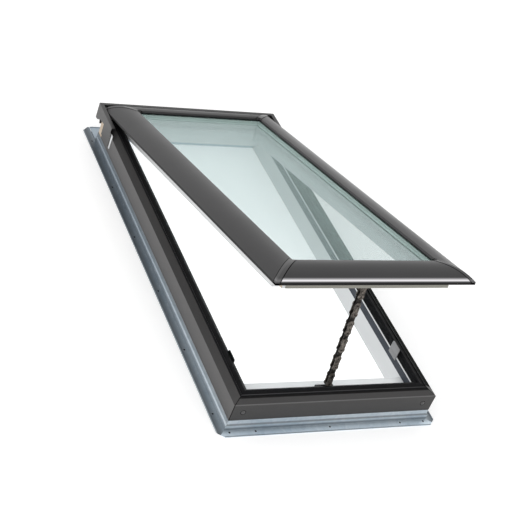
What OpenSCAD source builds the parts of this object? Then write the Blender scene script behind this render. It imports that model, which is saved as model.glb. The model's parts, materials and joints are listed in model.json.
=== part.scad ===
// Roof skylight, top hung, shown open: a wood frame with a nailing flange and metal cladding,
// a glazed sash, and a crank-driven push chain that opens it.
// Origin: middle of the flange's four corner nail holes, on the roof deck. +Y up the roof, +Z out of it.
// Sections are drawn as (a, z): a is the distance in from the outer edge of the frame or of the sash.

/* [Frame] */
// Outside width of the frame, over its cladding
frame_w = 584; // [500:1:900]
// Outside length of the frame, over its cladding
frame_l = 1178; // [900:1:1600]
// Height of the wood rails above the roof deck
rail_h = 84; // [78:0.5:104]
// Width of the side rails
side_rail_w = 50; // [46:0.5:70]
// Depth of the ledge inside the bottom rail's wall, which holds the chain operator
ledge_w = 47; // [42:0.5:70]
// Height of the bottom rail's ledge
ledge_h = 57; // [54:0.5:62]
// Thickness of the top rail
top_rail_w = 21; // [16:0.5:22]
// Height of the gap under the top rail
top_rail_z = 24; // [20:0.5:40]

/* [Cladding and flange] */
// Thickness of the cladding sheet
clad_t = 1.2; // [0.8:0.1:2]
// Height of the cladding's lower edge
clad_z = 32; // [28:0.5:40]
// Width of the cladding's sloping top
clad_top_w = 20; // [17:0.5:22]
// Rise of the cladding's sloping top
clad_rise = 10; // [6:0.5:11]
// How far the side cladding stops short of the frame's top end
clad_stop = 29; // [20:1:60]
// Thickness of the flange sheet
flange_t = 1.2; // [0.8:0.1:2]
// Width of the flange along the sides and the bottom
flange_w = 24.5; // [20:0.5:40]
// Width of the flange along the top
flange_top_w = 67; // [40:1:90]
// Depth of the bead pressed along the flange
bead_d = 3; // [1:0.1:4]
// Radius of the nail holes
nail_hole_r = 2; // [1.5:0.1:3]
// Distance of the side nail holes from the frame's face
side_hole_out = 13; // [9:0.5:16]
// Distance of the bottom nail holes from the frame's face
bottom_hole_out = 11; // [8:0.5:16]
// Distance of the first side nail hole from the frame's bottom end
hole_first = 53; // [30:1:100]
// Distance of the last side nail hole from the frame's top end
hole_last = 5; // [0:1:40]

/* [Sash] */
// How far the sash covers stand in from the frame's side faces
sash_inset = 11.2; // [9:0.1:16]
// How far the bottom sash cover stands in from the frame's bottom face
sash_inset_bottom = 8.7; // [6:0.1:16]
// How far the top sash cover reaches past the frame's top end
sash_over_top = 29.2; // [27:0.1:31]
// Width of the sash covers
cover_w = 78; // [74:0.5:90]
// Radius of the covers' rounded top
cover_r = 85; // [83:0.5:95]
// Thickness of the cover sheet
cover_t = 1.6; // [1:0.1:2]
// Width of the strips over the cover's corners
corner_strip_w = 15; // [6:0.5:20]
// Thickness of the sash side rails
sash_rail_w = 35; // [30:0.5:40]
// Drop of the sash side rails below their lip
sash_side_drop = 52.5; // [44:0.5:56]
// Drop of the sash bottom rail below its lip
sash_bottom_drop = 34.5; // [30:0.5:36]
// Drop of the sash top rail below its lip
sash_top_drop = 46.5; // [40:0.5:54]
// Thickness of each pane
pane_t = 4; // [3:0.5:5]
// Gap between the panes
pane_gap = 12.5; // [10:0.5:14]

/* [Opening] */
// Angle of the open sash
open_angle = 16; // [8:0.5:20]
// Distance of the hinge line past the frame's top end
hinge_out = 11; // [10:0.1:12]
// Height of the hinge line above the wood rails
hinge_up = 8; // [7:0.1:9]
// Radius of the hinge pins
hinge_pin_r = 3; // [2:0.1:3.5]
// Clearance of a pin in its bore
pin_gap = 0.05; // [0.02:0.01:0.1]
// Distance of each hinge from the side rail's inner face
hinge_in = 26; // [22:1:70]

/* [Chain operator] */
// Sideways place of the chain
chain_x = -2; // [-20:1:20]
// Pitch of the chain links
link_pitch = 27; // [20:0.5:34]
// Width of a chain link across its pins
link_w = 17; // [14:0.5:20]
// Thickness of a link plate
link_t = 2.4; // [1.5:0.1:2.4]
// How much narrower a link plate is at its waist
waist_in = 3; // [1:0.5:6]
// Radius of the chain pins
chain_pin_r = 2.2; // [1.5:0.1:3]
// Distance of the chain from the bottom rail's wall
chain_out = 15; // [13:0.5:18]
// Length of the operator housing
housing_l = 238; // [180:1:300]

/* [Hood] */
// Thickness of the hood sheet
hood_t = 1.5; // [1:0.1:2]
// Distance that the hood's wings run down from the frame's top end
hood_wing_l = 96; // [70:1:140]
// Distance of the hood's back past the frame's top end
hood_back = 42; // [40:0.5:50]

/* [Hidden] */
$fn = 64;

// Frame
side_hole_count = 6;
hole_shift = (hole_first - hole_last) / 2;
front_y = -frame_l / 2 - hole_shift;
back_y = front_y + frame_l;
half_w = frame_w / 2;
side_hole_x = half_w + side_hole_out;
hole_run = frame_l - hole_first - hole_last;
hole_pitch = hole_run / (side_hole_count - 1);
outer_hole_x = half_w - 9;
inner_hole_x = half_w - 81;
bottom_hole_x = [-outer_hole_x, -inner_hole_x, 0, inner_hole_x, outer_hole_x];
top_hole_x = [-inner_hole_x, 0, inner_hole_x];
top_hole_in = 20;
rail_in_x = half_w - side_rail_w;
ledge_wall = side_rail_w;
bottom_rail_w = ledge_wall + ledge_w;
track_t = 3.5;
arris_h = 4.5;
shoulder = 8;
track_top = rail_h - arris_h;
clad_edge_z = rail_h - 0.6;
clad_inner_z = clad_edge_z + clad_rise;
clad_end_y = back_y - clad_stop;
flange_leg_top = clad_z - 0.5;
bead_top = 18.7;
bead_z = 16;
flange_curl_r = 1.5;
corner_cut = 16;
mitre_depth = 110;
tall = 500;
reach = 90;
far = 3000;
screw_x = half_w - 31;
screw_z = 59;
screw_head_r = 6;
screw_head_h = 1.6;
screw_r = 2;
screw_l = 30;
plate_head_r = 3.2;
plate_head_h = 1;
through = 40;
small_r = 1.6;

// Gasket section, from the edge of the cladding to the inner face of the rail
gasket_gap = 0.5;
gasket_ridge = [clad_top_w + 0.52 * (side_rail_w - clad_top_w), rail_h + 12.6];

// Catch plates on the inner faces of the side rails
catch_t = 2;
catch_l = 39;
catch_y = front_y + 144;
catch_bottom = ledge_h + 15;
catch_top = rail_h + 26;
catch_low_top = rail_h + 9;
catch_cut = 3;
catch_screw_in = 9;
catch_screw_l = 18;
catch_room = 4;

// Hood: its section is in (distance past the frame's top end, height)
hood_out = 3;
hood_in = 9;
hood_top = rail_h + 26;
hood_low = rail_h - 24.5;
hood_lip = 10.5;
hood_lean = 1;
hood_floor = 13.5;
hood_slope = [33.5, 12];
hood_tip = [37.8, 1.5];
wing_z = clad_z + 14;
wing_fold = 3;
wing_end_z = rail_h + 10.4;
wing_step = 7.6;
wing_rise_z = rail_h - 3;
edge_strip_t = 1.2;

// Hinge line
hinge_y = back_y + hinge_out;
hinge_z = rail_h + hinge_up;
knuckle_r = 6;
knuckle_l = 14;
leaf_l = 40;
leaf_t = 2.5;
knuckle_gap = 1;
knuckle_root = 4;
leaf_screw_in = 13;
leaf_screw_low = 24;
leaf_drop = 34;
leaf_back = 28;
leaf_screw_back = 20;
stem_half = 3.5;
sash_knuckle_x = -knuckle_l / 2 + knuckle_gap + 1;
hinge_screw_l = 14;
sash_screw_l = 9;
hinge_x = rail_in_x - hinge_in;

// Sash, drawn closed in (s, z), where s is the distance in from the outer edge of its covers
sash_w = frame_w - 2 * sash_inset;
sash_y0 = front_y + sash_inset_bottom;
sash_y1 = back_y + sash_over_top;
rim_z = rail_h + 12.2;
lip_z = rail_h + 17.5;
lip_t = 10.5;
lip_s = 18.8;
wood_gap = 6;
wood_s = side_rail_w + wood_gap - sash_inset;
wood_in_s = wood_s + sash_rail_w;
ledge_room = 2.5;
upstand_t = 8;
bed_z = lip_z - 1.5;
glass_s = wood_s + upstand_t + 2.2;
glass_top = bed_z + 2 * pane_t + pane_gap;
glaze_t = 1;
cover_bottom = glass_top + glaze_t;
crown_s = 61;
crown_z = cover_bottom + 6.5;
cover_lip = 3;
strip_t = 0.8;
strip_run = 200;
clip_w = 30;
clip_s0 = 26;
clip_s1 = 42;
side_clips = 4;
top_wood_out = sash_y1 - (back_y - top_rail_w - 2);
top_wood_in = top_wood_out + 18;
spacer_s = cover_w + 1;
spacer_w = 12;
glaze_s = cover_w - 12;

// Chain: it leaves the outlet at chain_o and ends on the sash's bracket at chain_p
sash_low_z = lip_z - sash_bottom_drop;
bezel_h = 7.5;
chain_y = front_y + ledge_wall + chain_out;
chain_o = [chain_y, ledge_h + 9];
bracket_z = sash_low_z + 17;
function opened_point(p) = [
    hinge_y + (p[0] - hinge_y) * cos(open_angle) + (p[1] - hinge_z) * sin(open_angle),
    hinge_z - (p[0] - hinge_y) * sin(open_angle) + (p[1] - hinge_z) * cos(open_angle)
];
chain_p = opened_point([chain_y, bracket_z]);
chain_v = chain_p - chain_o;
chain_len = norm(chain_v);
chain_tilt = atan2(chain_v[0], chain_v[1]);
eye_l = 16;
eye_r = 7;
eye_pin_r = 3;
eye_gap = 0.4;
first_pin = chain_len - eye_l - 4;
link_count = floor((first_pin + 4) / link_pitch);
link_h = link_w / 2;
waist_w = link_w - waist_in;
inner_face = 2.5;
link_gap = 0.2;
pin_half = inner_face + 2 * link_t + link_gap + 0.4;
bush_r = 5;
bracket_w = 30;
bracket_t = 2.5;

// Operator, in a pocket under the ledge
pocket_a0 = ledge_wall + 4;
pocket_a1 = bottom_rail_w - 5;
pocket_top = ledge_h - 12;
house_gap = 0.5;
house_t = 2.5;
house_x0 = chain_x - housing_l * 0.62;
house_x1 = house_x0 + housing_l;
house_z = 4;
house_cover_t = 3;
slot_w = 24;
bezel_x0 = chain_x - 28;
bezel_x1 = chain_x + 24;
bezel_a0 = side_rail_w + 3;
bezel_a1 = ledge_wall + chain_out + 12;
slot_half = 9.6;
wheel_x = chain_x + 26;
wheel_z = 24;
wheel_shaft_r = 3;
wheel_teeth = 10;
sprocket_t = 4;
tooth_cut_r = 2.6;
boss_l = 12;
boss_h = 24;
operator_screw_in = 8;
operator_screw_l = 11;
gear_r = 13;
wheel_r = gear_r - 0.5;
gear_t = 6;
gear_teeth = 24;
worm_r = 5;
worm_gap = 0.5;
worm_x = wheel_x + gear_r + worm_r + worm_gap;
worm_pitch = 4;
worm_rings = 7;
worm_z = 10;
spindle_end = 1;
spindle_neck = 8;
spindle_core_r = worm_r - 1.6;
hex_r = 3;
hex_h = 6;

// ---------- helpers ----------

// Extrudes a section along a side of a rectangle w wide: +X side, from y0 to y1
module run_right(w, y0, y1) {
    translate([w / 2, y1, 0])
        mirror([1, 0, 0])
            rotate([90, 0, 0])
                linear_extrude(y1 - y0)
                    children();
}

// Extrudes a section along the lower side, at y0, or along the upper side, at y1
module run_bottom(w, y0) {
    translate([-w / 2, y0, 0])
        rotate([90, 0, 90])
            linear_extrude(w)
                children();
}

module run_top(w, y1) {
    translate([0, y1, 0])
        mirror([0, 1, 0])
            run_bottom(w, 0)
                children();
}

// Keeps what lies between the corner mitres of a rectangle w wide, from y0 to y1
module bottom_mitre(w, y0, d = mitre_depth) {
    intersection() {
        children();
        translate([0, 0, -1])
            linear_extrude(tall)
                polygon([
                    [-w / 2 - reach, y0 - reach], [w / 2 + reach, y0 - reach],
                    [w / 2 - d, y0 + d], [-w / 2 + d, y0 + d]
                ]);
    }
}

module top_mitre(w, y1, d = mitre_depth) {
    intersection() {
        children();
        translate([0, 0, -1])
            linear_extrude(tall)
                polygon([
                    [-w / 2 - reach, y1 + reach], [w / 2 + reach, y1 + reach],
                    [w / 2 - d, y1 - d], [-w / 2 + d, y1 - d]
                ]);
    }
}

module right_mitre(w, y0, y1, d = mitre_depth) {
    intersection() {
        children();
        translate([0, 0, -1])
            linear_extrude(tall)
                polygon([
                    [w / 2 + reach, y0 - reach], [w / 2 + reach, y1 + reach],
                    [w / 2 - d, y1 - d], [w / 2 - d, y0 + d]
                ]);
    }
}

// The same, but mitred at the bottom corner only
module right_mitre_bottom(w, y0, d = mitre_depth) {
    intersection() {
        children();
        translate([0, 0, -1])
            linear_extrude(tall)
                polygon([
                    [w / 2 + reach, y0 - reach], [w / 2 + reach, y0 + far],
                    [w / 2 - d, y0 + far], [w / 2 - d, y0 + d]
                ]);
    }
}

module flip_x() {
    mirror([1, 0, 0])
        children();
}

module both_sides() {
    children();
    flip_x()
        children();
}

// Turns what is drawn for the closed sash to the open pose
module opened() {
    translate([0, hinge_y, hinge_z])
        rotate([-open_angle, 0, 0])
            translate([0, -hinge_y, -hinge_z])
                children();
}

// Puts what is drawn along +Z from the chain's foot onto the leaning chain
module on_chain() {
    translate([chain_x, chain_o[0], chain_o[1]])
        rotate([-chain_tilt, 0, 0])
            children();
}

// A screw with a domed head, shank along -Z, head on z = 0
module screw(r, l, hr, hh) {
    dome_r = (hr * hr / hh + hh) / 2;
    union() {
        translate([0, 0, -l])
            cylinder(h = l, r = r);
        rotate_extrude()
            intersection() {
                translate([0, hh - dome_r])
                    circle(r = dome_r);
                square([hr, hh]);
            }
    }
}

module box(lo, hi) {
    translate(lo)
        cube(hi - lo);
}

// ---------- frame ----------

module side_rail_section() {
    polygon([
        [clad_t, 0], [side_rail_w, 0], [side_rail_w, ledge_h], [side_rail_w - track_t, ledge_h],
        [side_rail_w - track_t, track_top], [side_rail_w, track_top], [side_rail_w, rail_h],
        [shoulder, rail_h], [clad_t, rail_h - shoulder / 2]
    ]);
}

module side_rail() {
    difference() {
        run_right(frame_w, front_y + clad_t, back_y - clad_t)
            side_rail_section();
        translate([screw_x, front_y + clad_t, screw_z])
            rotate([-90, 0, 0])
                cylinder(h = screw_l - clad_t, r = screw_r);
        catch_screw_places()
            cylinder(h = through, r = small_r, center = true);
        run_bottom(frame_w, front_y)
            polygon([
                [0, rail_h - shoulder / 2], [clad_t, rail_h - shoulder / 2], [shoulder, rail_h],
                [shoulder, rail_h + 5], [0, rail_h + 5]
            ]);
    }
}

module frame_left_rail() {
    color("#d9c9a8")
        flip_x()
            side_rail();
}

module frame_right_rail() {
    color("#d9c9a8")
        side_rail();
}

module bottom_rail_section() {
    polygon([
        [clad_t, 0], [bottom_rail_w, 0], [bottom_rail_w, ledge_h], [ledge_wall, ledge_h],
        [ledge_wall, rail_h], [shoulder, rail_h], [clad_t, rail_h - shoulder / 2]
    ]);
}

module frame_bottom_rail() {
    color("#f1efe9")
        difference() {
            run_bottom(2 * rail_in_x, front_y)
                bottom_rail_section();
            box([house_x0 - house_gap, front_y + pocket_a0, -1],
                [house_x1 + house_gap, front_y + pocket_a1, pocket_top]);
            box([chain_x - slot_w / 2, chain_y - slot_half, 0],
                [chain_x + slot_w / 2, chain_y + slot_half, ledge_h + 1]);
        }
}

module frame_top_rail() {
    color("#f1efe9")
        difference() {
            run_top(2 * rail_in_x, back_y)
                polygon([
                    [clad_t, top_rail_z], [top_rail_w, top_rail_z], [top_rail_w, rail_h - 2],
                    [top_rail_w - 2, rail_h], [clad_t, rail_h]
                ]);
            hinge_frame_screw_places()
                translate([0, 0, -16])
                    cylinder(h = 20, r = small_r);
        }
}

module cladding_section() {
    polygon([
        [0, clad_z], [0, clad_edge_z], [clad_top_w, clad_inner_z], [clad_top_w, rail_h],
        [clad_top_w - clad_t, rail_h], [clad_top_w - clad_t, clad_inner_z - 1.9 * clad_t],
        [clad_t, clad_edge_z - 0.7 * clad_t], [clad_t, clad_z]
    ]);
}

module cladding_bottom() {
    color("#5b5852")
        difference() {
            bottom_mitre(frame_w, front_y)
                run_bottom(frame_w, front_y)
                    cladding_section();
            both_sides()
                translate([screw_x, front_y - 1, screw_z])
                    rotate([-90, 0, 0])
                        cylinder(h = clad_t + 2, r = screw_r);
        }
}

module side_cladding() {
    right_mitre_bottom(frame_w, front_y)
        run_right(frame_w, front_y, clad_end_y)
            cladding_section();
}

module cladding_left() {
    color("#6f6c68")
        flip_x()
            side_cladding();
}

module cladding_right() {
    color("#6f6c68")
        side_cladding();
}

module cladding_screws() {
    color("#6f6c66")
        both_sides()
            translate([screw_x, front_y, screw_z])
                rotate([90, 0, 0])
                    screw(screw_r, screw_l - 2, screw_head_r, screw_head_h);
}

// Flange section: a leg up the frame's face, a pressed bead, and a foot on the deck with a curled edge
module flange_section(w) {
    difference() {
        union() {
            polygon([
                [0, flange_leg_top], [0, bead_top], [-bead_d, bead_z], [-bead_d, flange_t], [-w, flange_t],
                [-w, 0], [-bead_d + flange_t, 0], [-bead_d + flange_t, bead_z - 0.6],
                [flange_t, bead_top - 0.6], [flange_t, flange_leg_top]
            ]);
            translate([-w, flange_curl_r])
                circle(r = flange_curl_r);
        }
        translate([-w - 5, -10])
            square([10, 10]);
    }
}

module side_flange() {
    difference() {
        right_mitre_bottom(frame_w, front_y)
            run_right(frame_w, front_y - flange_w - flange_curl_r, back_y + flange_top_w)
                flange_section(flange_w);
        for (i = [0 : side_hole_count - 1])
            translate([side_hole_x, front_y + hole_first + i * hole_pitch, -1])
                cylinder(h = 10, r = nail_hole_r);
        flange_corner_cut();
        translate([half_w + flange_w, back_y + flange_top_w, 0])
            rotate([0, 0, -45])
                cube([200, corner_cut * sqrt(2), 20], center = true);
        box([half_w - 10, back_y - flange_t, flange_t],
            [half_w + flange_w - 4, back_y + flange_top_w + 1, tall]);
    }
}

// The cut that takes the sharp tip off the flange's bottom corner
module flange_corner_cut() {
    translate([half_w + flange_w, front_y - flange_w, 0])
        rotate([0, 0, 45])
            cube([200, corner_cut * sqrt(2), 20], center = true);
}

module flange_left() {
    color("#8ea2b3")
        flip_x()
            side_flange();
}

module flange_right() {
    color("#8ea2b3")
        side_flange();
}

module flange_bottom() {
    color("#9fb2c2")
        difference() {
            bottom_mitre(frame_w, front_y)
                run_bottom(frame_w + 2 * flange_w + 4, front_y)
                    flange_section(flange_w);
            for (x = bottom_hole_x)
                translate([x, front_y - bottom_hole_out, -1])
                    cylinder(h = 10, r = nail_hole_r);
            both_sides()
                flange_corner_cut();
        }
}

module flange_top() {
    color("#9fb2c2")
        difference() {
            run_top(frame_w, back_y)
                flange_section(flange_top_w);
            for (x = top_hole_x)
                translate([x, back_y + flange_top_w - top_hole_in, -1])
                    cylinder(h = 10, r = nail_hole_r);
        }
}

module gasket_section() {
    a0 = clad_top_w + gasket_gap;
    a1 = side_rail_w;
    polygon([
        [a0, rail_h], [a0, rail_h + 9.5], [a0 + 3, rail_h + 12], [a0 + 5.5, rail_h + 9],
        [a0 + 9, rail_h + 10.5], gasket_ridge, [gasket_ridge[0] + 2, gasket_ridge[1]],
        [gasket_ridge[0] + 5, rail_h + 8], [a1, rail_h + 2.5], [a1, rail_h]
    ]);
}

module frame_gasket() {
    color("#1d1d1d")
        union() {
            bottom_mitre(frame_w, front_y)
                run_bottom(frame_w, front_y)
                    gasket_section();
            both_sides()
                right_mitre_bottom(frame_w, front_y)
                    run_right(frame_w, front_y, back_y - top_rail_w)
                        gasket_section();
        }
}

module top_gasket() {
    color("#1d1d1d")
        run_top(2 * (rail_in_x + 8), back_y)
            union() {
                translate([4, rail_h])
                    square([top_rail_w - 7, 7]);
                translate([top_rail_w / 2 + 0.5, rail_h + 8])
                    circle(r = 6);
            }
}

module track() {
    difference() {
        run_right(frame_w, front_y + side_rail_w + 2, back_y - top_rail_w)
            translate([side_rail_w - track_t, ledge_h])
                square([track_t, track_top - ledge_h]);
        catch_screw_places()
            cylinder(h = through, r = small_r, center = true);
    }
}

module track_left() {
    color("#33373d")
        flip_x()
            track();
}

module track_right() {
    color("#33373d")
        track();
}

// The two screws of a catch plate, as axes pointing along +Z into the rail
module catch_screw_places() {
    for (d = [catch_screw_in, catch_l - catch_screw_in])
        translate([rail_in_x - catch_t, catch_y + d, (catch_bottom + track_top) / 2])
            rotate([0, 90, 0])
                children();
}

module catch_plate(top) {
    difference() {
        rotate([90, 0, 90])
            translate([0, 0, rail_in_x - catch_t])
                linear_extrude(catch_t)
                    polygon([
                        [catch_y, catch_bottom], [catch_y + catch_l, catch_bottom],
                        [catch_y + catch_l, top - catch_cut], [catch_y + catch_l - catch_cut, top],
                        [catch_y + catch_cut, top], [catch_y, top - catch_cut]
                    ]);
        catch_screw_places()
            cylinder(h = through, r = small_r, center = true);
    }
}

module catch_plate_left() {
    color("#3a3a3c")
        flip_x()
            catch_plate(catch_low_top);
}

module catch_plate_right() {
    color("#a9aaac")
        catch_plate(catch_top);
}

module catch_screws() {
    color("#b8b8ba")
        both_sides()
            catch_screw_places()
                rotate([180, 0, 0])
                    screw(small_r, catch_screw_l, plate_head_r, plate_head_h);
}

// ---------- hood over the top end ----------

// Section of the hood's back, in (distance past the frame's top end, height)
module hood_back_section() {
    b = hood_back;
    z = hood_low;
    t = hood_t;
    polygon([
        [b - hood_lip, hood_top], [b, hood_top], [b - hood_lean, z], [b - hood_floor, z],
        [b - hood_slope[0], z + hood_slope[1]], [b - hood_tip[0], z + hood_tip[1]],
        [b - hood_tip[0] - 0.93 * t, z + hood_tip[1] + 0.4 * t],
        [b - hood_slope[0] - 0.5 * t, z + hood_slope[1] + 1.67 * t],
        [b - hood_floor + 0.5 * t, z + t], [b - hood_lean - t, z + t],
        [b - t, hood_top - t], [b - hood_lip, hood_top - t]
    ]);
}

module hood_wing() {
    intersection() {
        run_right(frame_w, back_y - hood_wing_l, back_y + hood_back)
            polygon([
                [hood_in, hood_top], [-hood_out, hood_top], [-hood_out, wing_z], [0, wing_z],
                [0, wing_z + wing_fold], [-hood_out + hood_t, wing_z + wing_fold],
                [-hood_out + hood_t, hood_top - hood_t], [hood_in, hood_top - hood_t]
            ]);
        translate([0, back_y, 0])
            rotate([90, 0, 90])
                linear_extrude(half_w + 2 * hood_out)
                    polygon([
                        [hood_back, hood_top], [hood_back - hood_lean, hood_low],
                        [hood_back - hood_floor, hood_low],
                        [hood_back - hood_slope[0], hood_low + hood_slope[1] + hood_t],
                        [-clad_stop + wing_fold, wing_rise_z],
                        [-clad_stop, wing_rise_z], [-clad_stop, wing_z],
                        [-hood_wing_l, wing_z], [-hood_wing_l, wing_end_z],
                        [-hood_wing_l + wing_step, wing_end_z], [-hood_wing_l + wing_step - 1.2, hood_top]
                    ]);
    }
}

module top_hood() {
    color("#595754")
        union() {
            translate([-half_w - hood_out, back_y, 0])
                rotate([90, 0, 90])
                    linear_extrude(frame_w + 2 * hood_out)
                        hood_back_section();
            both_sides()
                hood_wing();
        }
}

module hood_strip() {
    translate([half_w, back_y - hood_wing_l, 0])
        rotate([90, 0, 90])
            linear_extrude(edge_strip_t)
                polygon([
                    [0, wing_end_z], [-10, wing_end_z - 1], [-12, wing_end_z - 3.4], [-11, wing_z + 4],
                    [-9, wing_z + 1], [0, wing_z]
                ]);
}

module hood_strip_left() {
    color("#c9cbcd")
        flip_x()
            hood_strip();
}

module hood_strip_right() {
    color("#c9cbcd")
        hood_strip();
}

// ---------- hinges ----------

module hinge_frame_screw_places() {
    both_sides()
        for (x = [hinge_x - leaf_screw_in, hinge_x + leaf_screw_in])
            translate([x, back_y - clad_t + leaf_t, rail_h - leaf_screw_low])
                rotate([-90, 0, 0])
                    children();
}

module hinge_leaf_frame() {
    difference() {
        union() {
            box([hinge_x - leaf_l / 2, back_y - clad_t, rail_h - leaf_drop],
                [hinge_x + leaf_l / 2, back_y - clad_t + leaf_t, hinge_z - 2]);
            for (x = [hinge_x - leaf_l / 2, hinge_x + knuckle_l / 2 - 1])
                translate([x, 0, 0]) {
                    translate([0, back_y - clad_t, hinge_z - knuckle_r])
                        cube([knuckle_l, hinge_out + clad_t, knuckle_root]);
                    translate([0, hinge_y, hinge_z])
                        rotate([0, 90, 0])
                            cylinder(h = knuckle_l, r = knuckle_r);
                }
        }
        translate([0, hinge_y, hinge_z])
            rotate([0, 90, 0])
                cylinder(h = half_w, r = hinge_pin_r + pin_gap);
        hinge_frame_screw_places()
            cylinder(h = through / 2, r = small_r, center = true);
    }
}

module hinge_leaf_frame_left() {
    color("#b4b6b8")
        flip_x()
            hinge_leaf_frame();
}

module hinge_leaf_frame_right() {
    color("#b4b6b8")
        hinge_leaf_frame();
}

module hinge_pins() {
    color("#8f9092")
        both_sides()
            translate([hinge_x - leaf_l / 2 - 2, hinge_y, hinge_z])
                rotate([0, 90, 0])
                    cylinder(h = leaf_l + 4, r = hinge_pin_r);
}

module hinge_screws_frame() {
    color("#b8b8ba")
        hinge_frame_screw_places()
            screw(small_r, hinge_screw_l + leaf_t - clad_t, plate_head_r, plate_head_h);
}

module hinge_sash_screw_places() {
    both_sides()
        for (x = [hinge_x - leaf_screw_in, hinge_x + leaf_screw_in])
            translate([x, hinge_y - leaf_screw_back, lip_z - leaf_t])
                rotate([180, 0, 0])
                    children();
}

module hinge_leaf_sash() {
    difference() {
        union() {
            box([hinge_x - leaf_l / 2, hinge_y - leaf_back, lip_z - leaf_t],
                [hinge_x + leaf_l / 2, hinge_y + stem_half, lip_z]);
            box([hinge_x + sash_knuckle_x, hinge_y - stem_half, hinge_z],
                [hinge_x - sash_knuckle_x, hinge_y + stem_half, lip_z - 1]);
            translate([hinge_x + sash_knuckle_x, hinge_y, hinge_z])
                rotate([0, 90, 0])
                    cylinder(h = -2 * sash_knuckle_x, r = knuckle_r);
        }
        translate([0, hinge_y, hinge_z])
            rotate([0, 90, 0])
                cylinder(h = half_w, r = hinge_pin_r + pin_gap);
        hinge_sash_screw_places()
            cylinder(h = through / 2, r = small_r, center = true);
    }
}

module hinge_leaf_sash_left() {
    color("#b4b6b8")
        opened()
            flip_x()
                hinge_leaf_sash();
}

module hinge_leaf_sash_right() {
    color("#b4b6b8")
        opened()
            hinge_leaf_sash();
}

module hinge_screws_sash() {
    color("#b8b8ba")
        opened()
            hinge_sash_screw_places()
                screw(small_r, sash_screw_l, plate_head_r, plate_head_h);
}

// ---------- sash ----------

module sash_rail_section(drop) {
    difference() {
        union() {
            translate([wood_s, lip_z - drop])
                square([sash_rail_w, drop + lip_t]);
            translate([lip_s, lip_z])
                square([wood_s + 1 - lip_s, lip_t]);
        }
        translate([wood_s + upstand_t, bed_z])
            square([sash_rail_w, lip_t + 5]);
        polygon([
            [wood_in_s + 1, lip_z - drop - 1], [wood_in_s + 1, lip_z - drop + 4],
            [wood_in_s - 4, lip_z - drop - 1]
        ]);
    }
}

module sash_side_rail() {
    difference() {
        union() {
            run_right(sash_w, sash_y0 + wood_in_s, sash_y1 - top_wood_out)
                sash_rail_section(sash_side_drop);
            run_right(sash_w, sash_y0 + lip_s, sash_y1 - lip_s)
                translate([lip_s, lip_z])
                    square([wood_s - lip_s, lip_t]);
        }
        box([sash_w / 2 - wood_s - 0.01, catch_y - catch_room, lip_z - 1],
            [rail_in_x + catch_room, catch_y + catch_l + catch_room, catch_top + 1]);
        box([sash_w / 2 - wood_in_s - 1, sash_y0 + wood_in_s - 1, lip_z - sash_side_drop - 1],
            [sash_w / 2 - wood_s + 1, front_y + bottom_rail_w + ledge_room, ledge_h + ledge_room]);
    }
}

module sash_left_rail() {
    color("#e9e4da")
        opened()
            flip_x()
                sash_side_rail();
}

module sash_right_rail() {
    color("#e9e4da")
        opened()
            sash_side_rail();
}

module sash_bottom_rail() {
    color("#e9e4da")
        opened()
            difference() {
                run_bottom(sash_w - 2 * wood_s, sash_y0)
                    sash_rail_section(sash_bottom_drop);
                box([chain_x - bracket_w / 2 - 3, chain_y - 9, sash_low_z - 1],
                    [chain_x + bracket_w / 2 + 3, chain_y + 14, bracket_z + eye_r + 4]);
            }
}

module sash_top_rail() {
    color("#e9e4da")
        opened()
            difference() {
                union() {
                    run_top(sash_w - 2 * wood_in_s, sash_y1)
                        difference() {
                            translate([top_wood_out, lip_z - sash_top_drop])
                                square([top_wood_in - top_wood_out, sash_top_drop + lip_t]);
                            translate([top_wood_out + 2.5, bed_z])
                                square([40, 40]);
                        }
                    run_top(sash_w - 2 * wood_s, sash_y1)
                        translate([lip_s, lip_z])
                            square([top_wood_out - lip_s, lip_t]);
                }
                hinge_sash_screw_places()
                    translate([0, 0, -9])
                        cylinder(h = 12, r = small_r);
            }
}

// Olive drip strip on the front face of the sash
module sash_drip_strip() {
    color("#6c6a5f")
        opened()
            box([-sash_w / 2 + wood_s + 10, sash_y0 + wood_s - 1.5, sash_low_z],
                [sash_w / 2 - wood_s, sash_y0 + wood_s, lip_z - 2]);
}

module cover_outline() {
    difference() {
        intersection() {
            translate([crown_s, crown_z - cover_r])
                circle(r = cover_r, $fn = 200);
            translate([0, rim_z])
                square([cover_w, 60]);
        }
        polygon([
            [cover_w - cover_lip, crown_z + 3], [cover_w - cover_lip, crown_z - 1.2],
            [cover_w, cover_bottom + 1], [cover_w + 9, cover_bottom + 1], [cover_w + 9, crown_z + 3]
        ]);
    }
}

module cover_hollow() {
    intersection() {
        translate([crown_s, crown_z - cover_r])
            circle(r = cover_r - cover_t, $fn = 200);
        translate([cover_t, rim_z - 5])
            square([cover_w - cover_lip - cover_t - 1.5 - cover_t, 60]);
    }
    translate([crown_s, rim_z - 5])
        square([cover_w, cover_bottom - rim_z + 5]);
}

module cover_section() {
    difference() {
        cover_outline();
        cover_hollow();
    }
}

module sash_cover_bottom() {
    color("#5d5b58")
        opened()
            bottom_mitre(sash_w, sash_y0)
                run_bottom(sash_w, sash_y0)
                    cover_section();
}

module sash_cover_top() {
    color("#5d5b58")
        opened()
            top_mitre(sash_w, sash_y1)
                run_top(sash_w, sash_y1)
                    cover_section();
}

module side_cover() {
    right_mitre(sash_w, sash_y0, sash_y1)
        run_right(sash_w, sash_y0, sash_y1)
            cover_section();
}

module sash_cover_left() {
    color("#6a696b")
        opened()
            flip_x()
                side_cover();
}

module sash_cover_right() {
    color("#6a696b")
        opened()
            side_cover();
}

// A thin strip that covers a mitre, following the covers' rounded top
module strip_section() {
    intersection() {
        translate([crown_s, crown_z - cover_r])
            difference() {
                circle(r = cover_r + strip_t, $fn = 200);
                circle(r = cover_r, $fn = 200);
            }
        translate([-strip_t / 2, rim_z + 4])
            square([cover_w - cover_lip, 60]);
    }
}

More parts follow.
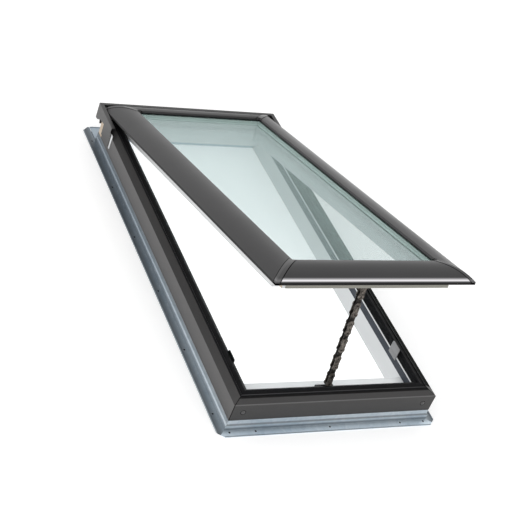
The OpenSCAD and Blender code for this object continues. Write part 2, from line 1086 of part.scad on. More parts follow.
module corner_band(x, y, turn) {
    translate([x, y, rim_z - 5])
        rotate([0, 0, turn])
            translate([-6, -corner_strip_w / 2, 0])
                cube([cover_w * sqrt(2) + 3, corner_strip_w, 60]);
}

module corner_strip_bottom() {
    intersection() {
        union() {
            right_mitre_bottom(sash_w, sash_y0)
                run_right(sash_w, sash_y0, sash_y0 + strip_run)
                    strip_section();
            bottom_mitre(sash_w, sash_y0)
                run_bottom(sash_w, sash_y0)
                    strip_section();
        }
        corner_band(sash_w / 2, sash_y0, 135);
    }
}

module corner_strip_top() {
    translate([0, sash_y0 + sash_y1, 0])
        mirror([0, 1, 0])
            corner_strip_bottom();
}

module corner_strips() {
    color("#7b7a78")
        opened()
            both_sides() {
                corner_strip_bottom();
                corner_strip_top();
            }
}

module clip_section() {
    intersection() {
        cover_hollow();
        translate([clip_s0, lip_z + lip_t])
            square([clip_s1 - clip_s0, 40]);
    }
}

module cover_clips() {
    color("#2a2a2c")
        opened() {
            both_sides()
                for (i = [1 : side_clips])
                    translate([0, sash_y0 + i * (sash_y1 - sash_y0) / (side_clips + 1), 0])
                        run_right(sash_w, -clip_w / 2, clip_w / 2)
                            clip_section();
            for (x = [-sash_w / 5, sash_w / 5])
                translate([x, 0, 0]) {
                    run_bottom(clip_w, sash_y0)
                        clip_section();
                    run_top(clip_w, sash_y1)
                        clip_section();
                }
        }
}

// A plate inside the sash: from s0 in from the covers' edge, between two heights
module sash_plate(s, z0, z1) {
    box([-sash_w / 2 + s, sash_y0 + s, z0], [sash_w / 2 - s, sash_y1 - s, z1]);
}

module glass_outer() {
    color("#b9cfc9", 0.35)
        opened()
            sash_plate(glass_s, glass_top - pane_t, glass_top);
}

module glass_inner() {
    color("#b9cfc9", 0.35)
        opened()
            sash_plate(glass_s, bed_z, bed_z + pane_t);
}

module glass_spacer() {
    color("#6f8079")
        opened()
            difference() {
                sash_plate(spacer_s - spacer_w, bed_z + pane_t, glass_top - pane_t);
                sash_plate(spacer_s, bed_z, glass_top);
            }
}

module glazing_gasket() {
    color("#1d1d1d")
        opened()
            difference() {
                sash_plate(glaze_s, glass_top, cover_bottom);
                sash_plate(cover_w + 0.8, glass_top - 1, cover_bottom + 1);
            }
}

// ---------- chain operator ----------

module operator_screw_places() {
    for (x = [house_x0 + operator_screw_in, house_x1 - operator_screw_in])
        translate([x, front_y + (pocket_a0 + pocket_a1) / 2, house_z - house_cover_t])
            rotate([180, 0, 0])
                children();
}

module operator_housing() {
    y0 = front_y + pocket_a0 + house_gap;
    y1 = front_y + pocket_a1 - house_gap;
    z1 = pocket_top - house_gap;
    color("#77787a")
        difference() {
            union() {
                difference() {
                    box([house_x0, y0, house_z], [house_x1, y1, z1]);
                    box([house_x0 + house_t, y0 + house_t, house_z - 1],
                        [house_x1 - house_t, y1 - house_t, z1 - house_t]);
                }
                for (x = [house_x0 + 2, house_x1 - 2 - boss_l])
                    translate([x, y0 + 1, house_z])
                        cube([boss_l, y1 - y0 - 2, boss_h]);
            }
            box([chain_x - slot_w / 2, chain_y - slot_half, z1 - 10],
                [chain_x + slot_w / 2, chain_y + slot_half, z1 + 1]);
            translate([wheel_x, y0 - 1, wheel_z])
                rotate([-90, 0, 0])
                    cylinder(h = y1 - y0 + 2, r = wheel_shaft_r + pin_gap);
            operator_screw_places()
                translate([0, 0, -12])
                    cylinder(h = 20, r = small_r);
        }
}

module operator_cover() {
    y0 = front_y + pocket_a0 + house_gap;
    y1 = front_y + pocket_a1 - house_gap;
    color("#dcdcda")
        difference() {
            box([house_x0, y0, house_z - house_cover_t], [house_x1, y1, house_z]);
            translate([worm_x, chain_y, -1])
                cylinder(h = 10, r = worm_r + 0.05);
            operator_screw_places()
                cylinder(h = through / 2, r = small_r, center = true);
        }
}

module operator_screws() {
    color("#b8b8ba")
        operator_screw_places()
            screw(small_r, operator_screw_l, plate_head_r, plate_head_h);
}

module chain_outlet() {
    color("#171717")
        difference() {
            box([bezel_x0, front_y + bezel_a0, ledge_h], [bezel_x1, front_y + bezel_a1, ledge_h + bezel_h]);
            box([chain_x - slot_w / 2 + 1, chain_y - slot_half, ledge_h - 1],
                [chain_x + slot_w / 2 - 1, chain_y + slot_half, ledge_h + bezel_h + 1]);
        }
}

// Wheel that drives the chain, on the shaft it shares with the worm wheel
module drive_sprocket() {
    y0 = front_y + pocket_a0 + house_gap;
    y1 = front_y + pocket_a1 - house_gap;
    color("#8a8b8d")
        translate([wheel_x, 0, wheel_z])
            union() {
                translate([0, y0 + 0.3, 0])
                    rotate([-90, 0, 0])
                        cylinder(h = y1 - y0 - 0.6, r = wheel_shaft_r);
                translate([0, chain_y - sprocket_t / 2, 0])
                    rotate([-90, 0, 0])
                        difference() {
                            cylinder(h = sprocket_t, r = wheel_r);
                            for (i = [0 : wheel_teeth - 1])
                                rotate([0, 0, i * 360 / wheel_teeth])
                                    translate([wheel_r + 0.5, 0, -1])
                                        cylinder(h = sprocket_t + 2, r = tooth_cut_r, $fn = 24);
                        }
            }
}

module worm_wheel() {
    color("#b79a5a")
        translate([wheel_x, chain_y + sprocket_t / 2 + 0.5, wheel_z])
            rotate([-90, 0, 0])
                difference() {
                    cylinder(h = gear_t, r = gear_r);
                    for (i = [0 : gear_teeth - 1])
                        rotate([0, 0, i * 360 / gear_teeth])
                            translate([gear_r, 0, -1])
                                cylinder(h = gear_t + 2, r = 0.7, $fn = 16);
                    translate([0, 0, -1])
                        cylinder(h = gear_t + 2, r = wheel_shaft_r);
                }
}

module worm_spindle() {
    z1 = pocket_top - house_gap - house_t - 1;
    color("#a6a7a9")
        translate([worm_x, chain_y, 0])
            difference() {
                union() {
                    translate([0, 0, spindle_end])
                        cylinder(h = spindle_neck - spindle_end, r = worm_r);
                    translate([0, 0, spindle_neck])
                        cylinder(h = z1 - spindle_neck, r = spindle_core_r);
                    for (i = [0 : worm_rings - 1])
                        translate([0, 0, worm_z + i * worm_pitch])
                            cylinder(h = worm_pitch / 2, r = worm_r);
                }
                cylinder(h = hex_h, r = hex_r, $fn = 6);
            }
}

// One link's outline: rounds about its two pins, joined by a narrower waist
module link_plate(t) {
    linear_extrude(t)
        difference() {
            union() {
                circle(r = link_h, $fn = 40);
                translate([link_pitch, 0])
                    circle(r = link_h, $fn = 40);
                translate([0, -waist_w / 2])
                    square([link_pitch, waist_w]);
            }
            circle(r = chain_pin_r, $fn = 24);
            translate([link_pitch, 0])
                circle(r = chain_pin_r, $fn = 24);
        }
}

// A pair of plates either side of the chain's middle, from pin i down to the next
module link_pair(i, y) {
    for (side = [-1, 1])
        translate([0, side < 0 ? -y - link_t : y, first_pin - i * link_pitch])
            rotate([0, 90, 0])
                rotate([-90, 0, 0])
                    mirror([0, 0, 1])
                        translate([0, 0, -link_t])
                            link_plate(link_t);
}

module chain_outer_links() {
    color("#4a4540")
        on_chain()
            for (i = [0 : 2 : link_count - 1])
                link_pair(i, inner_face + link_t + link_gap);
}

module chain_inner_links() {
    color("#5a5248")
        on_chain()
            for (i = [1 : 2 : link_count - 1])
                union() {
                    link_pair(i, inner_face);
                    for (k = [0, 1])
                        translate([0, -inner_face, first_pin - (i + k) * link_pitch])
                            rotate([-90, 0, 0])
                                difference() {
                                    cylinder(h = 2 * inner_face, r = bush_r);
                                    translate([0, 0, -1])
                                        cylinder(h = 2 * inner_face + 2, r = chain_pin_r + 0.3);
                                }
                }
}

module chain_pins() {
    color("#26221f")
        on_chain()
            for (i = [0 : link_count])
                translate([0, -pin_half, first_pin - i * link_pitch])
                    rotate([-90, 0, 0])
                        cylinder(h = 2 * pin_half, r = chain_pin_r);
}

// The block on the chain's end, whose eye turns on the bracket's pin
module chain_end_eye() {
    h = 2 * inner_face - 0.2;
    color("#3c3834")
        on_chain()
            difference() {
                union() {
                    translate([-eye_r, 0, chain_len])
                        rotate([0, 90, 0])
                            cylinder(h = 2 * eye_r, r = eye_r);
                    translate([-eye_r, -inner_face - link_t, chain_len - eye_l + 6])
                        cube([2 * eye_r, 2 * inner_face + 2 * link_t, eye_l - 8]);
                    translate([-eye_r, -h / 2, first_pin - 4])
                        cube([2 * eye_r, h, eye_l + 1]);
                }
                translate([-20, 0, chain_len])
                    rotate([0, 90, 0])
                        cylinder(h = 40, r = eye_pin_r + eye_gap);
                translate([0, -10, first_pin])
                    rotate([-90, 0, 0])
                        cylinder(h = 20, r = chain_pin_r);
            }
}

module chain_bracket() {
    ear_x = bracket_w / 2 - bracket_t;
    z1 = bracket_z + eye_r + 4;
    color("#9a9b9d")
        opened()
            translate([chain_x, chain_y, 0])
                difference() {
                    union() {
                        box([-bracket_w / 2, -8, z1 - bracket_t], [bracket_w / 2, 8, z1]);
                        for (x = [-bracket_w / 2, ear_x])
                            translate([x, -7, bracket_z - 6])
                                cube([bracket_t, 14, z1 - bracket_z + 6 - 1]);
                    }
                    translate([-bracket_w, 0, bracket_z])
                        rotate([0, 90, 0])
                            cylinder(h = 2 * bracket_w, r = eye_pin_r);
                }
}

module bracket_pin() {
    color("#8f9092")
        opened()
            translate([chain_x - bracket_w / 2 - 1, chain_y, bracket_z])
                rotate([0, 90, 0])
                    cylinder(h = bracket_w + 2, r = eye_pin_r);
}

frame_bottom_rail();
frame_top_rail();
frame_left_rail();
frame_right_rail();
cladding_bottom();
cladding_left();
cladding_right();
cladding_screws();
flange_bottom();
flange_top();
flange_left();
flange_right();
frame_gasket();
top_gasket();
track_left();
track_right();
catch_plate_left();
catch_plate_right();
catch_screws();
top_hood();
hood_strip_left();
hood_strip_right();
hinge_leaf_frame_left();
hinge_leaf_frame_right();
hinge_pins();
hinge_screws_frame();
operator_housing();
operator_cover();
operator_screws();
chain_outlet();
drive_sprocket();
worm_wheel();
worm_spindle();
sash_bottom_rail();
sash_top_rail();
sash_left_rail();
sash_right_rail();
sash_cover_bottom();
sash_cover_top();
sash_cover_left();
sash_cover_right();
corner_strips();
cover_clips();
sash_drip_strip();
glass_outer();
glass_inner();
glass_spacer();
glazing_gasket();
hinge_leaf_sash_left();
hinge_leaf_sash_right();
hinge_screws_sash();
chain_bracket();
bracket_pin();
chain_outer_links();
chain_inner_links();
chain_pins();
chain_end_eye();
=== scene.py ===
import json
import math

import bmesh
import bpy
from mathutils import Matrix, Vector


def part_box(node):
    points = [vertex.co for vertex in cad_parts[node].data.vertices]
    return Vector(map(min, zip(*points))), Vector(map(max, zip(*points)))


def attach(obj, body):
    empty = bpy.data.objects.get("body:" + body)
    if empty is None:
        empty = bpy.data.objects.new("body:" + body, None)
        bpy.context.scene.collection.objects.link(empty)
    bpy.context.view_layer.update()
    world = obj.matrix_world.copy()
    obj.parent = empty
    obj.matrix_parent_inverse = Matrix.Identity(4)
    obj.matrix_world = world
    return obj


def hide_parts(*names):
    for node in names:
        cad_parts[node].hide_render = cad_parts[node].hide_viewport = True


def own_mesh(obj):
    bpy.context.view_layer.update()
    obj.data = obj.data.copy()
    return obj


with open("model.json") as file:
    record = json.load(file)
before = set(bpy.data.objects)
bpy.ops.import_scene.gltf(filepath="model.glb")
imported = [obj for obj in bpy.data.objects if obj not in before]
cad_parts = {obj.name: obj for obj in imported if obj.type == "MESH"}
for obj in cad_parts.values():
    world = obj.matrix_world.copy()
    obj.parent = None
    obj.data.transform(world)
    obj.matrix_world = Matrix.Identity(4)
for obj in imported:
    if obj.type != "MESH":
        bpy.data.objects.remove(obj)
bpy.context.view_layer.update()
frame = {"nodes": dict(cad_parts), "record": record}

RECORD = frame["record"]
BODY_OF = {node: body for body, nodes in RECORD["behaviour"]["bodies"].items() for node in nodes}
SLOT_OF = {part["node"]: part["material_slot"] for part in RECORD["subparts"]}
JOINTS = {joint["name"]: joint for joint in RECORD["behaviour"]["joints"]}


# ---------- places on the skylight, in metres ----------

HINGE = JOINTS["sash_hinge"]["pos_m"]
OPEN_ANGLE = math.radians(16)
COS_OPEN, SIN_OPEN = math.cos(OPEN_ANGLE), math.sin(OPEN_ANGLE)

# The sash as it lies when closed: its outline, its wood's front end, and the heights of its covers'
# upright rim and rounded nose. A strip lies over each corner's mitre.
SASH_HALF_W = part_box("sash_cover_bottom")[1][0]
SASH_Y0 = -0.6043
SASH_Y1 = 0.5942
SASH_WOOD_Y0 = -0.5855
RIM_UPPER_HALF_Z = 0.0992
RIM_TOP_Z = 0.1022
NOSE_RISE = (0.1030, 0.1058)
NOSE_FALL = (0.1066, 0.1118)
STRIP_HALF = 0.0075

# The cladding: its front, where its slope begins, its screws, and how far in the gasket's bead is.
CLADDING_FRONT_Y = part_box("cladding_bottom")[0][1]
SLOPE_H = 0.0098
SLOPE_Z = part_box("cladding_left")[1][2] - SLOPE_H
SCREW_HEAD_R = (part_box("cladding_screws")[1][2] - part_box("cladding_screws")[0][2]) / 2
GASKET_BEAD_A = 0.0245

# The nailing flange: its thickness, the heights at which its foot turns into its leg, the stretch
# over which its shade changes towards the top, its nail holes, and the lines that it lies outside.
FLANGE_TOP_Z = 0.002
FLANGE_FOLD_Z = (0.0014, 0.0022)
FLANGE_FADE_Y = (-0.42, 0.25)
NAIL_X = 0.305
NAIL_Y = -0.624
NAIL_PITCH = 0.224
FRONT_NAILS_X = (0.0, 0.211, 0.283)
NAIL_SPOT_R = 0.0027
FLANGE_INNER_X = 0.29
FLANGE_INNER_Y = -0.611

# Half the width of the painted shadow lines and painted highlights that the masks draw.
SEAM_HALF = 0.0014
RING_HALF = 0.0009
EDGE_HIGHLIGHT_HALF = 0.0009
BEAD_HIGHLIGHT_HALF = 0.0022
COVER_SEAM_HALF = 0.0015

# Painted shade and highlights of the folded flange, as (distance, factor): shadow lines and bright
# arrises at its folds and bead, and a foot that darkens or lightens outwards. A foot's distances
# run out from the frame, and a leg's run up from the deck.
FRONT_FOOT_SHADES = ((0.003, 0.85), (0.008, 0.95), (0.013, 1.15), (0.018, 1.4), (0.024, 1.45))
FRONT_LEG_SHADES = (
    (0.002, 0.5), (0.0075, 0.5), (0.0100, 0.95), (0.0150, 1.0),
    (0.0162, 0.42), (0.0186, 0.42), (0.0193, 1.0), (0.03, 1.0),
)
SIDE_FOOT_SHADES = ((0.003, 0.9), (0.008, 0.7), (0.014, 0.5), (0.024, 0.38))
SIDE_LEG_SHADES = (
    (0.002, 0.75), (0.008, 0.8), (0.013, 1.0), (0.0190, 1.0), (0.0196, 0.82), (0.03, 0.85),
)


# ---------- shader helpers ----------


class Shader:
    """A material's node tree, with a Principled shader at its end."""

    def __init__(self, name):
        self.material = bpy.data.materials.new(name)
        self.material.use_nodes = True
        self.tree = self.material.node_tree
        self.tree.nodes.clear()
        self.out = self.tree.nodes.new("ShaderNodeOutputMaterial")
        self.principled = self.tree.nodes.new("ShaderNodeBsdfPrincipled")
        self.link(self.principled.outputs[0], self.out.inputs["Surface"])

    def link(self, source, target):
        self.tree.links.new(source, target)

    def node(self, kind, **settings):
        made = self.tree.nodes.new(kind)
        for key, value in settings.items():
            setattr(made, key, value)
        return made

    def set(self, **values):
        """Numbers for the Principled shader's own sockets."""
        for key, value in values.items():
            self.principled.inputs[key.replace("_", " ")].default_value = value
        return self

    def drive(self, socket, source):
        """Links a result to one of the Principled shader's sockets."""
        self.link(source, self.principled.inputs[socket])
        return self

    def coords(self, scale):
        """Object coordinates in metres, scaled per axis."""
        source = self.node("ShaderNodeTexCoord")
        mapping = self.node("ShaderNodeMapping")
        mapping.inputs["Scale"].default_value = scale
        self.link(source.outputs["Object"], mapping.inputs["Vector"])
        return mapping.outputs["Vector"]

    def axis(self, name):
        """One object coordinate in metres."""
        source = self.node("ShaderNodeTexCoord")
        parts = self.node("ShaderNodeSeparateXYZ")
        self.link(source.outputs["Object"], parts.inputs[0])
        return parts.outputs[name]

    def noise(self, scale, detail=3, rough=0.5, stretch=(1, 1, 1)):
        made = self.node("ShaderNodeTexNoise")
        made.inputs["Scale"].default_value = scale
        made.inputs["Detail"].default_value = detail
        made.inputs["Roughness"].default_value = rough
        self.link(self.coords(stretch), made.inputs["Vector"])
        return made.outputs["Fac"]

    def ramp(self, factor, *stops):
        """A colour ramp through (position, colour) stops."""
        made = self.node("ShaderNodeValToRGB")
        elements = made.color_ramp.elements
        elements[0].position, elements[0].color = stops[0][0], (*stops[0][1], 1)
        elements[1].position, elements[1].color = stops[-1][0], (*stops[-1][1], 1)
        for position, colour in stops[1:-1]:
            elements.new(position).color = (*colour, 1)
        self.link(factor, made.inputs["Fac"])
        return made.outputs["Color"]

    def span(self, factor, low, high, start=0.3, end=0.7):
        """Goes from low, where the factor is start, to high, where it is end."""
        made = self.node("ShaderNodeMapRange")
        made.inputs["From Min"].default_value = start
        made.inputs["From Max"].default_value = end
        made.inputs["To Min"].default_value = low
        made.inputs["To Max"].default_value = high
        self.link(factor, made.inputs["Value"])
        return made.outputs["Result"]

    def mix(self, factor, first, second, blend="MIX"):
        made = self.node("ShaderNodeMix", data_type="RGBA", blend_type=blend)
        if isinstance(factor, float):
            made.inputs[0].default_value = factor
        else:
            self.link(factor, made.inputs[0])
        for socket, value in ((made.inputs[6], first), (made.inputs[7], second)):
            if isinstance(value, tuple):
                socket.default_value = (*value, 1)
            else:
                self.link(value, socket)
        return made.outputs[2]

    def tint(self, first, second):
        """Two colours, multiplied."""
        return self.mix(1.0, first, second, "MULTIPLY")

    def maths(self, operation, first, second=0):
        made = self.node("ShaderNodeMath", operation=operation)
        for socket, value in zip(made.inputs, (first, second)):
            if isinstance(value, (int, float)):
                socket.default_value = value
            else:
                self.link(value, socket)
        return made.outputs[0]

    def plus(self, first, second):
        return self.maths("ADD", first, second)

    def minus(self, first, second):
        return self.maths("SUBTRACT", first, second)

    def times(self, first, second):
        return self.maths("MULTIPLY", first, second)

    def size(self, value):
        """The value without its sign."""
        return self.maths("ABSOLUTE", value)

    def less(self, first, second):
        return self.maths("LESS_THAN", first, second)

    def more(self, first, second):
        return self.maths("GREATER_THAN", first, second)

    def bump(self, height, strength, distance):
        made = self.node("ShaderNodeBump")
        made.inputs["Strength"].default_value = strength
        made.inputs["Distance"].default_value = distance
        self.link(height, made.inputs["Height"])
        return self.drive("Normal", made.outputs[0])

    def colour(self, source):
        return self.drive("Base Color", source)

    def roughness(self, source):
        return self.drive("Roughness", source)


def shade(colour, factor):
    return tuple(min(1, channel * factor) for channel in colour)


# ---------- distances and masks: where a finish changes on a part, from 0 to 1 ----------


def either(s, *masks):
    result = masks[0]
    for mask in masks[1:]:
        result = s.maths("MAXIMUM", result, mask)
    return result


def near(s, value, target, width):
    """1 where value is within width of target."""
    return s.less(s.size(s.minus(value, target)), width)


def within(s, x, y, radius):
    return s.less(s.plus(s.times(x, x), s.times(y, y)), radius * radius)


def from_middle(s):
    """The distance from the middle plane, either way."""
    return s.size(s.axis("X"))


def from_edges(s, node):
    """Distances in from the side edge and from the bottom edge of the part named."""
    low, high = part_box(node)
    return s.minus(high[0], from_middle(s)), s.minus(s.axis("Y"), low[1])


def sash_axes(s):
    """Distances along and above the sash, as it lies when closed."""
    y = s.minus(s.axis("Y"), HINGE[1])
    z = s.minus(s.axis("Z"), HINGE[2])
    along = s.minus(s.times(y, COS_OPEN), s.times(z, SIN_OPEN))
    above = s.plus(s.times(y, SIN_OPEN), s.times(z, COS_OPEN))
    return s.plus(along, HINGE[1]), s.plus(above, HINGE[2])


def on_slope(s):
    """The sloping top of the cladding."""
    return s.more(s.axis("Z"), SLOPE_Z)


def frame_rail_bare(s):
    """The side rails are bare on their outer faces, under the cladding, and at their top ends."""
    outer_skin, end_skin = 0.004, 0.003
    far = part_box("frame_right_rail")[1]
    outer = s.more(from_middle(s), far[0] - outer_skin)
    return either(s, outer, s.more(s.axis("Y"), far[1] - end_skin))


def sash_side_bare(s):
    """The sash's side rails are bare on their lips, under the covers, and at their front ends."""
    lip, sawn = 0.0255, 0.055
    along, _ = sash_axes(s)
    lips = s.more(from_middle(s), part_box("sash_right_rail")[1][0] - lip)
    return either(s, lips, s.less(along, SASH_WOOD_Y0 + sawn))


def sash_end_bare(s):
    """The bottom rail's two sawn ends are bare."""
    skin = 0.0012
    return s.more(from_middle(s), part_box("sash_bottom_rail")[1][0] - skin)


def frame_seam(s):
    """The shadow line of the cladding's two mitres."""
    across, along = from_edges(s, "cladding_bottom")
    return near(s, s.minus(across, along), 0, SEAM_HALF)


def screw_ring(s):
    """The shadow line round the cladding's two screw heads."""
    ring_gap = 0.0006
    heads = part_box("cladding_screws")
    x = s.minus(from_middle(s), heads[1][0] - SCREW_HEAD_R)
    z = s.minus(s.axis("Z"), (heads[0][2] + heads[1][2]) / 2)
    radius = s.maths("SQRT", s.plus(s.times(x, x), s.times(z, z)))
    return near(s, radius, SCREW_HEAD_R + ring_gap, RING_HALF)


def gasket_edge(s):
    """The shadow along the top of the bottom cladding, against the gasket."""
    deepest, width, fade = 0.9, 0.0055, 0.0035
    _, along = from_edges(s, "cladding_bottom")
    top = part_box("cladding_bottom")[1][1] - CLADDING_FRONT_Y
    return s.times(on_slope(s), s.span(along, 0, deepest, top - width, top - fade))


def front_cladding_shade(s):
    return either(s, frame_seam(s), screw_ring(s), gasket_edge(s))


def side_slope(s):
    """The side cladding's slope lies in shade: all of it on the right, and on the left the more
    so the further it is from the front."""
    shade_near, shade_far = 0.45, 0.66
    fade_from, fade_to, right_from = 0.02, 0.3, 0.03
    y = s.axis("Y")
    right = s.times(s.more(s.axis("X"), 0), s.more(y, CLADDING_FRONT_Y + right_from))
    from_front = s.span(
        y, shade_near, shade_far, CLADDING_FRONT_Y + fade_from, CLADDING_FRONT_Y + fade_to
    )
    return s.times(on_slope(s), s.maths("MAXIMUM", from_front, right))


def side_cladding_shade(s):
    return either(s, frame_seam(s), side_slope(s))


def front_edge_highlight(s):
    """Painted highlight on the top edge of the bottom cladding's face, and faintly on its slope."""
    slope_light = 0.1
    return either(s, near(s, s.axis("Z"), SLOPE_Z, EDGE_HIGHLIGHT_HALF), s.times(on_slope(s), slope_light))


def gasket_bead_highlight(s):
    """A painted highlight along the bead at the front of the gasket."""
    across, along = from_edges(s, "cladding_bottom")
    return s.times(s.less(along, across), near(s, along, GASKET_BEAD_A, BEAD_HIGHLIGHT_HALF))


def under_rim(s):
    """The top of the drip strip, in the shade of the covers' rim."""
    shaded = 0.0028
    return s.more(s.axis("Z"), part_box("sash_drip_strip")[1][2] - shaded)


def nose_gleam(s):
    """The light that runs along the rounded nose of the covers."""
    sharpness = 1.6
    _, above = sash_axes(s)
    rise = s.span(above, 0, 1, *NOSE_RISE)
    fall = s.span(above, 1, 0, *NOSE_FALL)
    return s.maths("POWER", s.times(rise, fall), sharpness)


def bottom_nose_gleam(s):
    """The same light, on the bottom cover alone and short of its mitres."""
    mitre_gap = 0.008
    along, _ = sash_axes(s)
    across = s.minus(SASH_HALF_W, from_middle(s))
    inside = s.less(s.minus(along, SASH_Y0), s.minus(across, mitre_gap))
    return s.times(nose_gleam(s), inside)


def cover_seams(s):
    """The shadow lines either side of the strips over the sash's corners, and the rim below them.
    The upright rim faces down a little, so it lies in shade, and is darkest at the strips' tips."""
    line_gap, tip_half, rim_shade = 0.0012, 0.010, 0.7
    along, above = sash_axes(s)
    across = s.minus(SASH_HALF_W, from_middle(s))
    middle = (SASH_Y0 + SASH_Y1) / 2
    end = s.minus((SASH_Y1 - SASH_Y0) / 2, s.size(s.minus(along, middle)))
    offset = s.size(s.minus(across, end))
    lines = near(s, offset, STRIP_HALF * math.sqrt(2) + line_gap, COVER_SEAM_HALF)
    rim = s.less(above, RIM_TOP_Z)
    return either(s, lines, s.times(s.less(offset, tip_half), rim), s.times(rim, rim_shade))


def out_from_front(s):
    return s.minus(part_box("frame_bottom_rail")[0][1], s.axis("Y"))


def out_from_side(s):
    return s.minus(from_middle(s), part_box("frame_right_rail")[1][0])


def front_nail_shade(s):
    """Painted shade in the nail holes of the bottom flange."""
    x = from_middle(s)
    nearest = s.size(s.minus(x, FRONT_NAILS_X[0]))
    for place in FRONT_NAILS_X[1:]:
        nearest = s.maths("MINIMUM", nearest, s.size(s.minus(x, place)))
    return within(s, nearest, s.minus(s.axis("Y"), NAIL_Y), NAIL_SPOT_R)


def side_nail_shade(s):
    """Painted shade in the nail holes of the side flanges, which are a pitch apart."""
    x = s.minus(from_middle(s), NAIL_X)
    y = s.maths("PINGPONG", s.plus(s.axis("Y"), NAIL_PITCH / 2), NAIL_PITCH / 2)
    return within(s, x, y, NAIL_SPOT_R)


# ---------- materials ----------


def coated_sheet(
    name, colour, rough=0.42, coat=0.05, dark=None, dark_share=0.22, light=None, light_share=3
):
    """Satin powder coat on sheet metal: faint mottling and orange peel.
    dark masks painted shade, such as the shadow lines at seams, where the gloss goes too, and light
    masks painted highlights. Their shares multiply the colour."""
    s = Shader(name).set(Coat_Weight=coat, Coat_Roughness=0.12)
    mottle = s.noise(6, detail=4, rough=0.6)
    peel = s.noise(420, detail=2, rough=0.6)
    base = s.ramp(mottle, (0.3, shade(colour, 0.93)), (0.7, shade(colour, 1.07)))
    base = s.tint(base, s.ramp(peel, (0.35, (0.94, 0.94, 0.94)), (0.65, (1.05, 1.05, 1.05))))
    if light:
        base = s.mix(light(s), base, shade(colour, light_share))
    if dark:
        mask = dark(s)
        base = s.mix(mask, base, shade(colour, dark_share))
        s.drive("Specular IOR Level", s.span(mask, 0.3, 0.0, 0, 1))
        s.drive("Coat Weight", s.span(mask, coat, 0.0, 0, 1))
    s.colour(base)
    s.roughness(s.span(mottle, rough - 0.05, rough + 0.06))
    s.bump(peel, strength=0.12, distance=0.0002)
    return s.material


def shades_along(s, distance, shades):
    """Painted shade and highlights at distances, as greys which multiply a colour."""
    first, last = shades[0][0], shades[-1][0]
    spread = s.span(distance, 0, 1, first, last)
    return s.ramp(spread, *(((at - first) / (last - first), (v, v, v)) for at, v in shades))


def galvanised(name, foot, leg, top_share=1.0, folds=None, nail_shade=None):
    """Zinc coating: a faint spangle of pale and blue-grey crystals, with long rolling streaks.
    foot and leg darken the part on the deck and the part up the frame's face, as painted shade that
    differs between them, and top_share darkens the upper end of both, also as painted shade. folds
    holds the function that gives the distance out from the frame, then the foot's and the leg's
    painted shadow lines and highlights. The nail mask gives painted shade in the nail holes."""
    s = Shader(name).set(Metallic=0.6)
    cells = s.node("ShaderNodeTexVoronoi", feature="F1", voronoi_dimensions="3D")
    cells.inputs["Scale"].default_value = 120
    s.link(s.coords((1, 0.6, 1)), cells.inputs["Vector"])
    cell = s.node("ShaderNodeRGBToBW")
    s.link(cells.outputs["Color"], cell.inputs[0])
    grey = cell.outputs[0]
    crystals = s.ramp(
        grey, (0.2, (0.62, 0.69, 0.75)), (0.5, (0.66, 0.73, 0.78)), (0.85, (0.71, 0.77, 0.82))
    )
    rolled = s.noise(7, detail=5, rough=0.6, stretch=(1, 0.12, 1))
    zinc = s.tint(crystals, s.ramp(rolled, (0.3, (0.78, 0.83, 0.87)), (0.7, (1.0, 1.0, 1.0))))

    height = s.axis("Z")
    foot_to_leg = s.span(height, 0, 1, *FLANGE_FOLD_Z)
    by_height = s.ramp(foot_to_leg, (0, (foot, foot, foot)), (1, (leg, leg, leg)))
    if folds:
        outward, foot_shades, leg_shades = folds
        on_foot = shades_along(s, outward(s), foot_shades)
        on_leg = shades_along(s, height, leg_shades)
        by_height = s.tint(by_height, s.mix(s.more(height, FLANGE_TOP_Z), on_foot, on_leg))

    top_grey = (top_share, top_share * 1.04, top_share * 1.08)
    front_to_top = s.span(s.axis("Y"), 0, 1, *FLANGE_FADE_Y)
    shaded = s.tint(s.tint(zinc, by_height), s.ramp(front_to_top, (0, (1, 1, 1)), (1, top_grey)))
    s.colour(s.mix(nail_shade(s), shaded, NAIL_HOLE_SHADE) if nail_shade else shaded)
    s.roughness(s.span(grey, 0.33, 0.46, 0.1, 0.9))
    s.bump(s.noise(60), strength=0.06, distance=0.0006)
    return s.material


def painted_wood(name, along_y, bare=None, white=0.80):
    """White paint over pine, whose grain shows through a little. bare masks unpainted wood. The
    paint's brightness is set part by part, as painted light and shade.
    """
    s = Shader(name).set(Specular_IOR_Level=0.45, Roughness=0.38)
    stretch = (1, 0.035, 1) if along_y else (0.035, 1, 1)
    grain = s.noise(95, detail=6, rough=0.62, stretch=stretch)
    paint = s.ramp(
        s.noise(5),
        (0.3, shade((0.97, 0.985, 1.0), white * 0.97)),
        (0.7, shade((0.975, 0.99, 1.0), white * 1.03)),
    )
    base = s.tint(paint, s.ramp(grain, (0.3, (0.965, 0.965, 0.96)), (0.6, (1.0, 1.0, 1.0))))
    if bare:
        mask = bare(s)
        pine = s.ramp(
            grain, (0.32, (0.42, 0.32, 0.22)), (0.5, (0.53, 0.44, 0.34)), (0.72, (0.60, 0.52, 0.42))
        )
        base = s.mix(mask, base, pine)
        s.roughness(s.span(mask, 0.38, 0.7, 0, 1))
    s.colour(base)
    s.bump(grain, strength=0.12, distance=0.0006)
    return s.material


def rubber(name, bead_highlight=None):
    """Matt black rubber, with a paler painted highlight where the optional mask is set."""
    s = Shader(name).set(Specular_IOR_Level=0.1)
    fine = s.noise(300)
    base = s.ramp(fine, (0.3, (0.004, 0.004, 0.005)), (0.7, (0.008, 0.008, 0.009)))
    s.colour(s.mix(bead_highlight(s), base, (0.05, 0.05, 0.052)) if bead_highlight else base)
    s.roughness(s.span(s.noise(30), 0.36, 0.55))
    s.bump(fine, strength=0.1, distance=0.0003)
    return s.material


